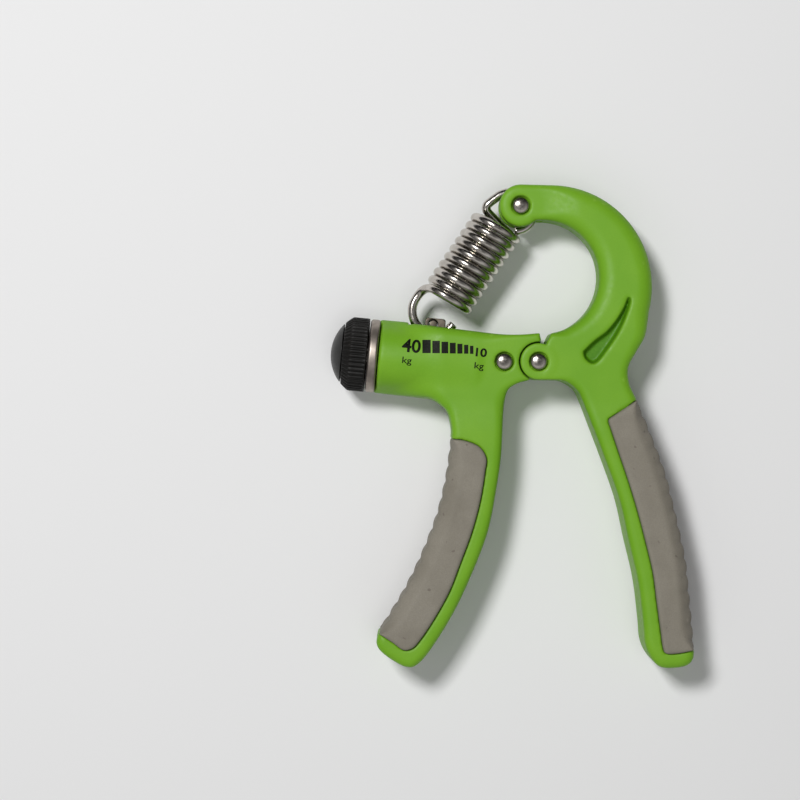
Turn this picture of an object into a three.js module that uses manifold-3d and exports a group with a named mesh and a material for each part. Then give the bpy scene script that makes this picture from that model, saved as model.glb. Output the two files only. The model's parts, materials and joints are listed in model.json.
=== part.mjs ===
// Adjustable hand grip strengthener: two moulded handles hinged on a rivet and held apart by a
// tension spring. A knob and a lead screw carry the spring's lower end along the housing.
// Millimetres. The gripper lies on its back: +Y runs from the handle tips to the spring arm and
// +Z points up out of its front face. Pieces are drawn about the main pivot, at mid thickness.
import * as THREE from 'three';
import { mergeVertices } from 'three/addons/utils/BufferGeometryUtils.js';
import Module from 'manifold-3d';

const wasm = await Module();
wasm.setup();

// ---------------------------------------------------------------- driving dimensions

const GRIP_HALF = 11;
const PIVOT_PLACE = { x: 7.389, y: 17.845, z: GRIP_HALF };
const GAP = 0.3;
const FAR = 30;

const HINGE = { ear: 5.1, recess: 5.65, half: 9, tongueHalf: 3.3, earFrom: 4.25, slot: 5.5 };
const RIVET = { shank: 1.5, hole: 1.75, head: 2.35, counterbore: 2.7, seat: 1.1, proud: 0.3 };
const ANCHOR = { x: -9.56, y: 0 };
const LUG = { x: -4.8, y: 43.6, r: 5.9, half: 6, slotHalf: 1.6 };
const LUG_SLOT = { x: -6.8, y: 40.9, r: 8.5 };

const ARM = { half: 7.5, recess: 2.2, holeX: 1.1, holeY: 23.6, holeR: 15.9, rimX: 3.66, rimY: 21.1, rimR: 28.2 };
const HANDLE = { half: 9.6, edge: 1.5, coreHalf: 8.7, skin: 2.6 };
const RIB = { pitch: 4.6, depth: 0.45, samples: 3 };

const TUBE = { x: -44.5, y: 1.55, tilt: Math.atan2(0.0958, 0.9954), r: 9.7, flatR: 8.8 };
const BORE = { r: 5.6, end: 29.3, pocketEnd: 37.4, low: -3.8, high: 4.4, half: 3.7 };
const TOP_SLOT = { from: 7.6, to: 29.6, half: 3.55 };
const SCREW = { r: 1.9, head: -8, tip: 31.8, shoulder: 29.6, journal: 1.5, groove: 3.4 };
const NUT = { from: 12.1, to: 17.8, r: 5.2, half: 3.2, slotHalf: 1.5, floor: 2.75, top: 12.1 };
const PIN = { s: 14.39, n: 10.4, r: 1.1, hole: 1.25, half: 3.15 };
const COLLAR = { from: -3, to: -0.3, r: 10.25, spigotR: 5.3, spigotTo: 2 };
const KNOB = { from: -10, to: -3.7, r: 10.35, groove: 0.4, ribs: 48, shoulder: -7.9, web: -8.4, rim: 7.5 };
const DOME = { tip: -13.5, r: 12.3 };
const CAP = { rim: -10.3, r: 8.1, plugR: 7.2, plugTo: -8.9, hollowR: 4.2 };

const WIRE = { r: 1.25, coilR: 6.5, turns: 9.5, loopR: 6.4 };
const COIL = { x0: -25.5, y0: 17.3, x1: -11.3, y1: 38 };
const CORNER = { x: -15.1, y: 43.45 };
const UPPER_LOOP = { x: -7.3, y: 41.3 };
const LOWER_LOOP = { x: -28.7, y: 14.3 };

// ---------------------------------------------------------------- outlines, clockwise from the front

const FIXED_OUTER = [
  [-44.4, -75.4], [-42.5, -72.6], [-37.4, -64.1], [-32.6, -54.3], [-28.1, -42.5],
  [-25.6, -31.8], [-24.2, -21.6],
];
const FIXED_TOP = [[-43.57, 11.2], [-32.9, 10.2], [-18.8, 8.6], [-10.4, 7.6], [-4.8, 7.5], [0.3, 7.9]];
const FIXED_INNER = [
  [-2.5, -5.2], [-5.8, -6.1], [-8.35, -7.75], [-9.3, -10.5], [-9.8, -14.9], [-10.4, -26.2],
  [-11.8, -36], [-14.1, -47.3], [-18.3, -58.5], [-23.6, -69.8], [-30.1, -80.2],
];
const FIXED_TIP = [[-34, -84.4], [-36.6, -84.9], [-39.7, -83.5], [-43.3, -81], [-45, -78.5]];
const FIXED_ARMPIT = [[-24.3, -17.7], [-25.3, -14.1], [-27.3, -12], [-30, -10.3], [-33, -9.7], [-45.43, -8.1]];
const FIXED_GRIP_REST = [
  [-20.8, -21.9], [-16.6, -23.6], [-14.6, -26.7], [-14.9, -30.4], [-16.3, -38.8], [-18.6, -47.3],
  [-21.7, -55.7], [-25, -64.1], [-29.8, -72.6], [-33.5, -77.9], [-35.4, -79.6], [-37.7, -79.9],
  [-40.5, -77.9],
];

const MOVING_OUTER = [
  [27.3, -10.7], [30.9, -19.1], [35.2, -30.4], [37.4, -38.8], [39.4, -47.3], [41.1, -55.7],
  [42.2, -66.9], [43, -75.4], [43.2, -79.9],
];
const MOVING_WAIST = [[29.8, 7.3], [27.3, 2.8], [25, -1.7], [25.3, -6.2]];
const MOVING_TIP = [[42.8, -82.8], [41, -84.5], [37, -85.2], [33.5, -84.7], [31, -82]];
const MOVING_INNER = [
  [29.5, -78.2], [29, -72.6], [27.6, -61.3], [25, -50], [22.5, -38.8], [18.6, -27.6],
  [14.3, -16.3], [12.1, -10.7], [11, -8.4], [9.1, -6.6], [6.8, -5.4], [4.5, -5.15], [1, -5.1],
];
const MOVING_GRIP_REST = [
  [38.8, -80.8], [35.2, -80.9], [34.3, -79.3], [33.75, -75.4], [32.6, -66.9], [31.5, -58.5],
  [29.5, -50], [27.3, -41.6], [24.75, -33.2], [21.9, -24.8], [20, -19.1], [19.2, -16.4],
  [20.4, -15.2],
];
const TEARDROP = [
  [12.4, 2.7], [15.4, 5.6], [18.7, 8.1], [21.5, 11.3], [23.7, 14.9], [24.9, 17.7], [25.5, 16.7],
  [24, 12], [21.9, 7.7], [19, 3.4], [16.5, 0.2], [14.7, -0.5], [12.9, 0.9],
];

// ---------------------------------------------------------------- drawing helpers

const vectors = (pairs) => pairs.map(([x, y]) => new THREE.Vector2(x, y));

// Eases from 0 at one value to 1 at another, which may lie either way.
function smooth(from, to, value) {
  const t = THREE.MathUtils.clamp((value - from) / (to - from), 0, 1);
  return t * t * (3 - 2 * t);
}

// Points along a path, about one step apart on every curve of it.
function sampled(path, step) {
  const points = [];
  for (const curve of path.curves) {
    const count = curve.isLineCurve ? 1 : Math.max(2, Math.ceil(curve.getLength() / step));
    points.push(...curve.getPoints(count));
  }
  return points.filter((p, i) => p.distanceTo(points[(i + 1) % points.length]) > 0.7);
}

function splinePath(pairs) {
  const path = new THREE.Path();
  path.moveTo(...pairs[0]);
  path.splineThru(vectors(pairs.slice(1)));
  return path;
}

// Moves a line of points sideways, to the left of its direction: outward on a clockwise outline.
function shifted(points, distances) {
  return points.map((p, i) => {
    const before = points[Math.max(0, i - 1)];
    const after = points[Math.min(points.length - 1, i + 1)];
    const arriving = p.clone().sub(i > 0 ? before : after.clone().lerp(p, 2)).normalize();
    const leaving = (i < points.length - 1 ? after.clone().sub(p) : p.clone().sub(before)).normalize();
    const distance = typeof distances === 'number' ? distances : distances[i];
    const mitre = distance / Math.max(0.4, 1 + arriving.dot(leaving));
    return new THREE.Vector2(p.x - (arriving.y + leaving.y) * mitre, p.y + (arriving.x + leaving.x) * mitre);
  });
}

function distanceToLoop(point, loop) {
  const target = new THREE.Vector3(point.x, point.y, 0);
  const nearest = new THREE.Vector3();
  return Math.min(...loop.map((p, i) => {
    const q = loop[(i + 1) % loop.length];
    const edge = new THREE.Line3(new THREE.Vector3(p.x, p.y, 0), new THREE.Vector3(q.x, q.y, 0));
    return edge.closestPointToPoint(target, true, nearest).distanceTo(target);
  }));
}

// A loop drawn in all round. Where a corner is too tight, its points gather on a neighbour.
function drawnIn(points, inset) {
  const wrapped = [points.at(-1), ...points, points[0]];
  const moved = shifted(wrapped, -inset).slice(1, -1);
  const clear = moved.map((p) => distanceToLoop(p, points) > inset - 0.04);
  const count = points.length;
  return moved.map((p, i) => {
    let step = 0;
    while (!clear[(i + step) % count] && !clear[(i - step + count) % count] && step < count) step += 1;
    return clear[(i + step) % count] ? moved[(i + step) % count] : moved[(i - step + count) % count];
  });
}

const distinct = (loop) => loop.filter((p, i) => p.distanceTo(loop[(i + 1) % loop.length]) > 1e-3);

function solid(geometry) {
  geometry.deleteAttribute('normal');
  geometry.deleteAttribute('uv');
  const merged = mergeVertices(geometry, 1e-4);
  const index = merged.index.array;
  const triangles = [];
  for (let i = 0; i < index.length; i += 3) {
    const [a, b, c] = index.slice(i, i + 3);
    if (a !== b && b !== c && c !== a) triangles.push(a, b, c);
  }
  return new wasm.Manifold(new wasm.Mesh({
    numProp: 3,
    vertProperties: new Float32Array(merged.attributes.position.array),
    triVerts: new Uint32Array(triangles),
  }));
}

function extruded(points, depth) {
  return new THREE.ExtrudeGeometry(new THREE.Shape(points), { depth, bevelEnabled: false });
}

function prism(points, low, high) {
  return solid(extruded(points, high - low).translate(0, 0, low));
}

// A plate about mid thickness with rounded edges, its half thickness varying over the outline.
function roundedPlate(outline, half, edge, steps = 2) {
  const rings = [];
  for (let i = 0; i <= steps; i += 1) {
    const turn = i / steps * Math.PI / 2;
    const loop = drawnIn(outline, edge * (1 - Math.sin(turn)));
    rings.push(loop.map((p) => [p.x, p.y, half(p.x, p.y) - edge * (1 - Math.cos(turn))]));
  }
  const levels = [...rings, ...rings.toReversed().map((ring) => ring.map(([x, y, z]) => [x, y, -z]))];
  const count = outline.length;
  const triangles = [];
  for (let level = 0; level < levels.length - 1; level += 1) {
    for (let i = 0; i < count; i += 1) {
      const a = level * count + i;
      const b = level * count + (i + 1) % count;
      triangles.push(a, b, a + count, b, b + count, a + count);
    }
  }
  const face = rings[0].map(([x, y]) => new THREE.Vector2(x, y));
  const kept = face.map((_, i) => i).filter((i) => face[i].distanceTo(face[(i + 1) % count]) > 1e-3);
  const last = (levels.length - 1) * count;
  for (const [a, b, c] of THREE.ShapeUtils.triangulateShape(kept.map((i) => face[i]), [])) {
    triangles.push(kept[a], kept[b], kept[c], last + kept[a], last + kept[c], last + kept[b]);
  }
  const geometry = new THREE.BufferGeometry();
  geometry.setAttribute('position', new THREE.Float32BufferAttribute(levels.flat(2), 3));
  geometry.setIndex(triangles);
  return solid(geometry);
}

function lathe(profile, segments) {
  return new THREE.LatheGeometry(vectors(profile), segments);
}

// Turned pieces stand along Z at (x, y), or lie along the tube with their profile's height as s.
function turnedUpright(profile, x, y, segments = 16) {
  return solid(lathe(profile, segments).rotateX(Math.PI / 2).translate(x, y, 0));
}

function alongTube(geometry) {
  return geometry.rotateZ(-Math.PI / 2 - TUBE.tilt).translate(TUBE.x, TUBE.y, 0);
}

function turnedOnTube(profile, segments = 16) {
  return solid(alongTube(lathe(profile, segments)));
}

function rod(x, y, r, low, high, segments = 16) {
  return turnedUpright([[0, low], [r, low], [r, high], [0, high]], x, y, segments);
}

function core(r, from, to, segments = 16) {
  return turnedOnTube([[0, from], [r, from], [r, to], [0, to]], segments);
}

function ringProfile(inner, outer, from, to) {
  return [[inner, from], [outer, from], [outer, to], [inner, to], [inner, from]];
}

// A block in the tube's frame: s along it, n across it towards the spring, z through the part.
function tubeBlock(from, to, low, high, zLow, zHigh) {
  const box = new THREE.BoxGeometry(high - low, to - from, zHigh - zLow);
  box.translate(-(low + high) / 2, (from + to) / 2, (zLow + zHigh) / 2);
  return solid(alongTube(box));
}

function onTube(s, n) {
  const cos = Math.cos(TUBE.tilt);
  const sin = Math.sin(TUBE.tilt);
  return new THREE.Vector2(TUBE.x + s * cos + n * sin, TUBE.y - s * sin + n * cos);
}

// A flat outline in the tube's cross plane, extruded along the tube.
function tubePrism(points, from, to) {
  return solid(alongTube(extruded(points, to - from).rotateX(-Math.PI / 2).translate(0, from, 0)));
}

function cutAll(body, cutters) {
  return cutters.reduce((left, cutter) => left.subtract(cutter), body);
}

function joinAll(bodies) {
  return bodies.reduce((joined, body) => joined.add(body));
}

// ---------------------------------------------------------------- handles and grips

function fixedOutline() {
  const path = splinePath(FIXED_TOP);
  path.lineTo(0.8, 5.2);
  path.lineTo(...FIXED_INNER[0]);
  path.splineThru(vectors([...FIXED_INNER.slice(1), ...FIXED_TIP, ...FIXED_OUTER, ...FIXED_ARMPIT]));
  return sampled(path, 4);
}

function movingOutline() {
  const path = new THREE.Path();
  path.moveTo(2.25, 5.3);
  path.lineTo(3.5, 7.9);
  path.absarc(ARM.holeX, ARM.holeY, ARM.holeR, -1.42, 1.69, false);
  path.absarc(LUG.x, LUG.y, LUG.r, -0.8, -1.5 * Math.PI, true);
  path.absarc(ARM.rimX, ARM.rimY, ARM.rimR, Math.PI / 2, -0.26, true);
  path.splineThru(vectors([...MOVING_WAIST, ...MOVING_OUTER, ...MOVING_TIP, ...MOVING_INNER]));
  return sampled(path, 4);
}

const fixedHalf = (x, y) => {
  const lever = THREE.MathUtils.lerp(HINGE.half, HANDLE.half, smooth(-10, -20, y));
  const tube = THREE.MathUtils.lerp(2.2, lever, smooth(-44, -26, x));
  return y < -14 ? lever : Math.min(lever, tube);
};

const movingHalf = (x, y) => {
  const lever = THREE.MathUtils.lerp(HINGE.half, HANDLE.half, smooth(-10, -20, y));
  const arm = THREE.MathUtils.lerp(lever, ARM.half, smooth(0, 34, y));
  const lug = smooth(13, 7, Math.hypot(x - LUG.x, y - LUG.y));
  return THREE.MathUtils.lerp(arm, LUG.half, lug);
};

// The edge under the fingers or palm, with its row of shallow ribs.
function ribbedEdge(pairs) {
  const path = splinePath(pairs);
  const length = path.getLength();
  const count = Math.round(length / RIB.pitch) * RIB.samples;
  const points = path.curves[0].getSpacedPoints(count);
  const phase = (i) => (i % RIB.samples) / RIB.samples * 2 * Math.PI;
  return shifted(points, points.map((_, i) => -RIB.depth * (1 - Math.cos(phase(i))) / 2));
}

function gripRegion(outer, rest, outward, around) {
  const edge = shifted(sampled(splinePath(outer), 4), outward);
  const others = shifted(sampled(splinePath([outer.at(-1), ...rest, outer[0]]), 3), around);
  return [...edge, ...others];
}

const coreLoop = (handleOutline) => distinct(drawnIn(handleOutline, HANDLE.skin));

function gripCover(outer, rest, handleOutline) {
  const inner = sampled(splinePath([outer.at(-1), ...rest, outer[0]]), 3);
  const outline = [...ribbedEdge(outer), ...inner.slice(1, -1)];
  const cover = roundedPlate(outline, () => GRIP_HALF, HANDLE.edge, 1);
  const core = coreLoop(handleOutline);
  const room = shifted([core.at(-1), ...core, core[0]], GAP).slice(1, -1);
  return cover.subtract(prism(room, -HANDLE.coreHalf - GAP, HANDLE.coreHalf + GAP));
}

// The handle is cut back where its soft cover goes, down to a core that the cover wraps.
function withGripSeat(plate, outline, outer, rest, coreTop) {
  const seat = prism(gripRegion(outer, rest, 2, GAP), -FAR, FAR);
  const leverZone = prism(vectors([[-60, -FAR * 3], [-60, coreTop], [60, coreTop], [60, -FAR * 3]]), -FAR, FAR);
  const leverCore = prism(coreLoop(outline), -HANDLE.coreHalf, HANDLE.coreHalf);
  return plate.subtract(seat).add(leverCore.intersect(leverZone));
}

function rivetCuts(x, y, half) {
  const seat = half - RIVET.seat - GAP;
  return [
    rod(x, y, RIVET.hole, -FAR, FAR),
    rod(x, y, RIVET.counterbore, seat, FAR),
    rod(x, y, RIVET.counterbore, -FAR, -seat),
  ];
}

function fixedHandle() {
  const outline = fixedOutline();
  const plate = withGripSeat(roundedPlate(outline, fixedHalf, HANDLE.edge), outline, FIXED_OUTER, FIXED_GRIP_REST, -16);
  const tube = turnedOnTube([
    [0, 0], [TUBE.r - 0.6, 0], [TUBE.r, 0.6], [TUBE.r, 12], [TUBE.flatR, 26], [TUBE.flatR - 3, 28], [0, 28],
  ], 32);
  const tongue = rod(0, 0, HINGE.ear, -HINGE.tongueHalf, HINGE.tongueHalf, 28);
  const cheeks = rod(0, 0, HINGE.recess, -FAR, FAR, 28);
  return cutAll(joinAll([plate, tube]).subtract(cheeks).add(tongueRoot(outline)).add(tongue), [
    core(BORE.r, -1, BORE.end, 24),
    tubeBlock(BORE.end - 1, BORE.pocketEnd, BORE.low, BORE.high, -BORE.half, BORE.half),
    tubeBlock(TOP_SLOT.from, TOP_SLOT.to, 0, FAR, -TOP_SLOT.half, TOP_SLOT.half),
    rod(0, 0, 2.8, -FAR, FAR),
    ...rivetCuts(ANCHOR.x, ANCHOR.y, HINGE.half),
  ]);
}

// The middle layer of the housing, kept where the hinge cheeks are cut away.
function tongueRoot(outline) {
  const layer = prism(distinct(drawnIn(outline, 0.5)), -HINGE.tongueHalf, HINGE.tongueHalf);
  return layer.intersect(rod(0, 0, HINGE.recess + 1, -FAR, FAR, 28));
}

function movingHandle() {
  const outline = movingOutline();
  const plate = withGripSeat(roundedPlate(outline, movingHalf, HANDLE.edge), outline, MOVING_OUTER, MOVING_GRIP_REST, -9);
  const ear = [[0, HINGE.earFrom], [HINGE.ear, HINGE.earFrom], [HINGE.ear, HINGE.half - 0.6], [HINGE.ear - 0.6, HINGE.half], [0, HINGE.half]];
  const mirrored = ear.map(([r, z]) => [r, -z]).reverse();
  const ears = [turnedUpright(ear, 0, 0, 28), turnedUpright(mirrored, 0, 0, 28)];
  const teardrop = sampled(splinePath([...TEARDROP, TEARDROP[0]]), 2.5);
  const recessFrom = ARM.half - ARM.recess;
  return cutAll(joinAll([plate, ...ears]), [
    rod(0, 0, HINGE.slot, -HINGE.earFrom, HINGE.earFrom, 28),
    rod(LUG_SLOT.x, LUG_SLOT.y, LUG_SLOT.r, -LUG.slotHalf, LUG.slotHalf, 24),
    prism(teardrop, recessFrom, FAR),
    prism(teardrop, -FAR, -recessFrom),
    ...rivetCuts(0, 0, HINGE.half),
    ...rivetCuts(LUG.x, LUG.y, LUG.half),
  ]);
}

// ---------------------------------------------------------------- rivets, bush and washers

function rivet(x, y, half) {
  const under = half - RIVET.seat;
  const rim = half - 0.7;
  const top = half + RIVET.proud;
  const dome = [[RIVET.head, rim], [RIVET.head * 0.7, top - 0.25], [0, top]];
  const upper = [[RIVET.shank, under], [RIVET.head, under], ...dome];
  const lower = upper.map(([r, z]) => [r, -z]).reverse();
  return turnedUpright([...lower, ...upper], x, y, 16);
}

const pivotBush = () => turnedUpright(ringProfile(1.6, 2.5, -3.1, 3.1), 0, 0);

const pivotWasher = (low, high) => turnedUpright(ringProfile(RIVET.hole, 4.6, low, high), 0, 0, 20);

// ---------------------------------------------------------------- adjuster, along the tube

function endCollar() {
  return turnedOnTube([
    [3.35, COLLAR.from], [COLLAR.r - 0.5, COLLAR.from], [COLLAR.r, COLLAR.from + 0.5],
    [COLLAR.r, COLLAR.to - 0.4], [COLLAR.r - 0.4, COLLAR.to], [COLLAR.spigotR, COLLAR.to],
    [COLLAR.spigotR, COLLAR.spigotTo], [3.35, COLLAR.spigotTo], [3.35, COLLAR.from],
  ], 28);
}

// The knob's end is part of a sphere: its distance from the tube at a radius.
const domeAt = (r) => DOME.tip + DOME.r - Math.sqrt(DOME.r ** 2 - r ** 2);

function domeProfile(from, to, count) {
  const points = [];
  for (let i = 0; i <= count; i += 1) {
    const r = THREE.MathUtils.lerp(from, to, i / count);
    points.push([r, domeAt(r)]);
  }
  return points;
}

function knob() {
  const ribbed = [];
  for (let i = 0; i < 2 * KNOB.ribs; i += 1) {
    const angle = i * Math.PI / KNOB.ribs;
    const r = KNOB.r - (i % 2) * KNOB.groove;
    ribbed.push(new THREE.Vector2(r * Math.cos(angle), r * Math.sin(angle)));
  }
  const rounded = turnedOnTube([
    [0, KNOB.from], [KNOB.rim + 1.1, KNOB.from], ...domeProfile(KNOB.rim + 1.4, KNOB.r, 4),
    [KNOB.r + 1, KNOB.shoulder + 1], [KNOB.r + 1, KNOB.to + 1], [0, KNOB.to + 1],
  ], 48);
  return cutAll(tubePrism(ribbed, KNOB.from, KNOB.to).intersect(rounded), [
    core(KNOB.rim, KNOB.from - 1, KNOB.web, 24),
    core(SCREW.r + GAP, KNOB.web - 1, KNOB.to + 1),
  ]);
}

function knobCap() {
  return turnedOnTube([
    ...domeProfile(0, CAP.r, 5), [CAP.r, CAP.rim], [CAP.plugR, CAP.rim], [CAP.plugR, CAP.plugTo],
    [CAP.hollowR, CAP.plugTo], [CAP.hollowR, -10.6], [0, -10.6],
  ], 24);
}

function knobScrew() {
  return turnedOnTube([[0, -9.9], [2.4, -9.9], [3, -9.3], [3, -8.7], [1.1, -8.7], [1.1, -5], [0, -5]], 14);
}

function leadScrew() {
  return turnedOnTube([
    [0, -4.5], [1.4, -4.5], [1.4, SCREW.head], [SCREW.r, SCREW.head], [SCREW.r, SCREW.groove],
    [1.4, SCREW.groove], [1.4, SCREW.groove + 1], [SCREW.r, SCREW.groove + 1],
    [SCREW.r, SCREW.shoulder], [SCREW.journal, SCREW.shoulder], [SCREW.journal, SCREW.tip],
    [0, SCREW.tip],
  ], 16);
}

function retainingClip() {
  const path = new THREE.Path();
  path.absarc(0, 0, 3.9, 0.6, 2 * Math.PI - 0.6, false);
  path.absarc(0, 0, 1.6, 2 * Math.PI - 0.9, 0.9, true);
  return tubePrism(sampled(path, 1.2), SCREW.groove + 0.1, SCREW.groove + 0.8);
}

function screwEndBlock() {
  const block = tubeBlock(29.9, BORE.pocketEnd - GAP, BORE.low + GAP, BORE.high - GAP, -BORE.half + GAP, BORE.half - GAP);
  return cutAll(block, [core(1.65, 29, SCREW.tip + 0.4), rod(ANCHOR.x, ANCHOR.y, RIVET.hole, -FAR, FAR)]);
}

function sliderNut() {
  const barrel = core(NUT.r, NUT.from, NUT.to, 20);
  const fork = tubeBlock(NUT.from, NUT.to, 0, NUT.top, -NUT.half, NUT.half);
  const place = onTube(PIN.s, PIN.n);
  return cutAll(barrel.add(fork), [
    tubeBlock(NUT.from - 1, NUT.to + 1, NUT.floor, FAR, -NUT.slotHalf, NUT.slotHalf),
    core(SCREW.r + 0.25, NUT.from - 1, NUT.to + 1),
    rod(place.x, place.y, PIN.hole, -FAR, FAR, 12),
  ]);
}

function sliderPin() {
  const place = onTube(PIN.s, PIN.n);
  return rod(place.x, place.y, PIN.r, -PIN.half, PIN.half, 12);
}

// ---------------------------------------------------------------- spring wire

const coilLength = Math.hypot(COIL.x1 - COIL.x0, COIL.y1 - COIL.y0);
const coilAxis = new THREE.Vector3(COIL.x1 - COIL.x0, COIL.y1 - COIL.y0, 0).divideScalar(coilLength);
const coilSide = new THREE.Vector3(-coilAxis.y, coilAxis.x, 0);

// The wire's place after a number of turns, starting on the coil's outer side.
function coilPoint(turn) {
  const angle = 2 * Math.PI * turn;
  return new THREE.Vector3(COIL.x0, COIL.y0, 0)
    .addScaledVector(coilAxis, coilLength * turn / WIRE.turns)
    .addScaledVector(coilSide, WIRE.coilR * Math.cos(angle))
    .add(new THREE.Vector3(0, 0, WIRE.coilR * Math.sin(angle)));
}

function loopPoint(loop, degrees) {
  const angle = THREE.MathUtils.degToRad(degrees);
  return new THREE.Vector3(loop.x + WIRE.loopR * Math.cos(angle), loop.y + WIRE.loopR * Math.sin(angle), 0);
}

function wire(points, steps, sides) {
  const section = new THREE.Shape();
  section.absarc(0, 0, WIRE.r, 0, 2 * Math.PI, false);
  const extrudePath = new THREE.CatmullRomCurve3(points);
  const geometry = new THREE.ExtrudeGeometry(section, { steps, extrudePath, curveSegments: sides / 2 });
  return solid(geometry);
}

function springCoil() {
  const points = [];
  for (let turn = 0.2; turn <= WIRE.turns - 0.1; turn += 0.1) points.push(coilPoint(turn));
  return wire(points, 104, 6);
}

function springLowerHook() {
  const points = [-36, -60, -90, -120, -150, -180, -210, -225].map((a) => loopPoint(LOWER_LOOP, a));
  points.push(new THREE.Vector3(-31.9, 20.2, 0.9), coilPoint(0.1), coilPoint(0.15));
  return wire(points, 26, 6);
}

// From the end of the coil the wire crosses to a tight corner, and bends there into the loop.
function springUpperHook() {
  const corner = new THREE.Vector3(CORNER.x, CORNER.y, 0);
  const loopStart = loopPoint(UPPER_LOOP, 130);
  const crossing = coilPoint(WIRE.turns + 0.12);
  const points = [coilPoint(WIRE.turns - 0.05), coilPoint(WIRE.turns), coilPoint(WIRE.turns + 0.06), crossing];
  for (const share of [0.35, 0.65, 0.85]) {
    points.push(crossing.clone().lerp(corner, share));
  }
  points.push(corner.clone().lerp(loopStart, 0.15), corner.clone().lerp(loopStart, 0.45));
  for (let a = 130; a >= -60; a -= 30) points.push(loopPoint(UPPER_LOOP, a));
  return wire(points, 40, 6);
}

// ---------------------------------------------------------------- the assembly

const GREEN = { color: 0x70a32d, roughness: 0.45, metalness: 0 };
const TAUPE = { color: 0x867e73, roughness: 0.75, metalness: 0 };
const BLACK = { color: 0x1e1d1b, roughness: 0.5, metalness: 0 };
const CAP_BLACK = { color: 0x323232, roughness: 0.4, metalness: 0 };
const STEEL = { color: 0x9a938c, roughness: 0.25, metalness: 1 };
const BRASS = { color: 0xb08d4c, roughness: 0.35, metalness: 1 };
const NYLON = { color: 0xd8d4c8, roughness: 0.5, metalness: 0 };

const gripper = new THREE.Group();
gripper.position.set(PIVOT_PLACE.x, PIVOT_PLACE.y, PIVOT_PLACE.z);

function addPiece(name, body, finish) {
  const { vertProperties, triVerts } = body.getMesh();
  const geometry = new THREE.BufferGeometry();
  geometry.setAttribute('position', new THREE.BufferAttribute(vertProperties, 3));
  geometry.setIndex(new THREE.BufferAttribute(triVerts, 1));
  geometry.computeVertexNormals();
  const mesh = new THREE.Mesh(geometry, new THREE.MeshStandardMaterial(finish));
  mesh.name = name;
  gripper.add(mesh);
}

addPiece('fixed_handle', fixedHandle(), GREEN);
addPiece('fixed_grip_cover', gripCover(FIXED_OUTER, FIXED_GRIP_REST, fixedOutline()), TAUPE);
addPiece('moving_handle', movingHandle(), GREEN);
addPiece('moving_grip_cover', gripCover(MOVING_OUTER, MOVING_GRIP_REST, movingOutline()), TAUPE);

addPiece('pivot_rivet', rivet(0, 0, HINGE.half), STEEL);
addPiece('pivot_bush', pivotBush(), BRASS);
addPiece('pivot_washer_front', pivotWasher(3.55, 3.95), NYLON);
addPiece('pivot_washer_back', pivotWasher(-3.95, -3.55), NYLON);
addPiece('anchor_rivet', rivet(ANCHOR.x, ANCHOR.y, HINGE.half), STEEL);
addPiece('spring_rivet', rivet(LUG.x, LUG.y, LUG.half), STEEL);

addPiece('end_collar', endCollar(), STEEL);
addPiece('adjusting_knob', knob(), BLACK);
addPiece('knob_cap', knobCap(), CAP_BLACK);
addPiece('knob_screw', knobScrew(), STEEL);
addPiece('lead_screw', leadScrew(), STEEL);
addPiece('spindle_bush', turnedOnTube(ringProfile(2, 3.05, -2.9, 1.8)), BRASS);
addPiece('thrust_washer', turnedOnTube(ringProfile(2.2, 4.6, 2.3, 3.1)), NYLON);
addPiece('retaining_clip', retainingClip(), STEEL);
addPiece('screw_end_block', screwEndBlock(), STEEL);
addPiece('slider_nut', sliderNut(), STEEL);
addPiece('slider_pin', sliderPin(), STEEL);

addPiece('spring_coil', springCoil(), STEEL);
addPiece('spring_upper_hook', springUpperHook(), STEEL);
addPiece('spring_lower_hook', springLowerHook(), STEEL);

const assembly = new THREE.Group();
assembly.add(gripper);

export default assembly;
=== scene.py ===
"""Looks of the adjustable hand gripper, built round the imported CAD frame.

Lengths here are in millimetres from the main pivot, at mid thickness, as in the CAD source:
+X towards the moving handle, +Y towards the spring arm, +Z out of the front face. The tube of
the housing has its own directions: s along it, n across it towards the spring.
"""
import json
import math

import bmesh
import bpy
import numpy as np
import openvdb
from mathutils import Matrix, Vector


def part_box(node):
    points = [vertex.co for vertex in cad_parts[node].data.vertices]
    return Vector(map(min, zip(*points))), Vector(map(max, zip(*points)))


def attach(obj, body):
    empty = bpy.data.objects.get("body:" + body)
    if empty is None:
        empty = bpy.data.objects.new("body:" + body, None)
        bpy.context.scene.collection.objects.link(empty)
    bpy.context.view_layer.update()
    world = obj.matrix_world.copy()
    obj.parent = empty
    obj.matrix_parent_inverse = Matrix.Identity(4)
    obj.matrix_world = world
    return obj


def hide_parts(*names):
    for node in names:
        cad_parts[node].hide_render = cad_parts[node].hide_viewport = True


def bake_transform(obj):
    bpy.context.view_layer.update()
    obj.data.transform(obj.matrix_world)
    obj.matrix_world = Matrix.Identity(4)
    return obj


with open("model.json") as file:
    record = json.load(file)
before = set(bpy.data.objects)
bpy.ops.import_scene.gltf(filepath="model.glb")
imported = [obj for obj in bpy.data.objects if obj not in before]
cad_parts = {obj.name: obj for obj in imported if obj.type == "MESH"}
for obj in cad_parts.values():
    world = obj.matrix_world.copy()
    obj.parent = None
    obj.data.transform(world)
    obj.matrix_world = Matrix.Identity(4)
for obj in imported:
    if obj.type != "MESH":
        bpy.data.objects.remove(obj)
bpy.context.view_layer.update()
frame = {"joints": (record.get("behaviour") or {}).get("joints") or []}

# ------------------------------------------------------------------ places, from the frame

MM = 0.001


def joint(name):
    return next(j for j in frame["joints"] if j["name"] == name)


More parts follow.
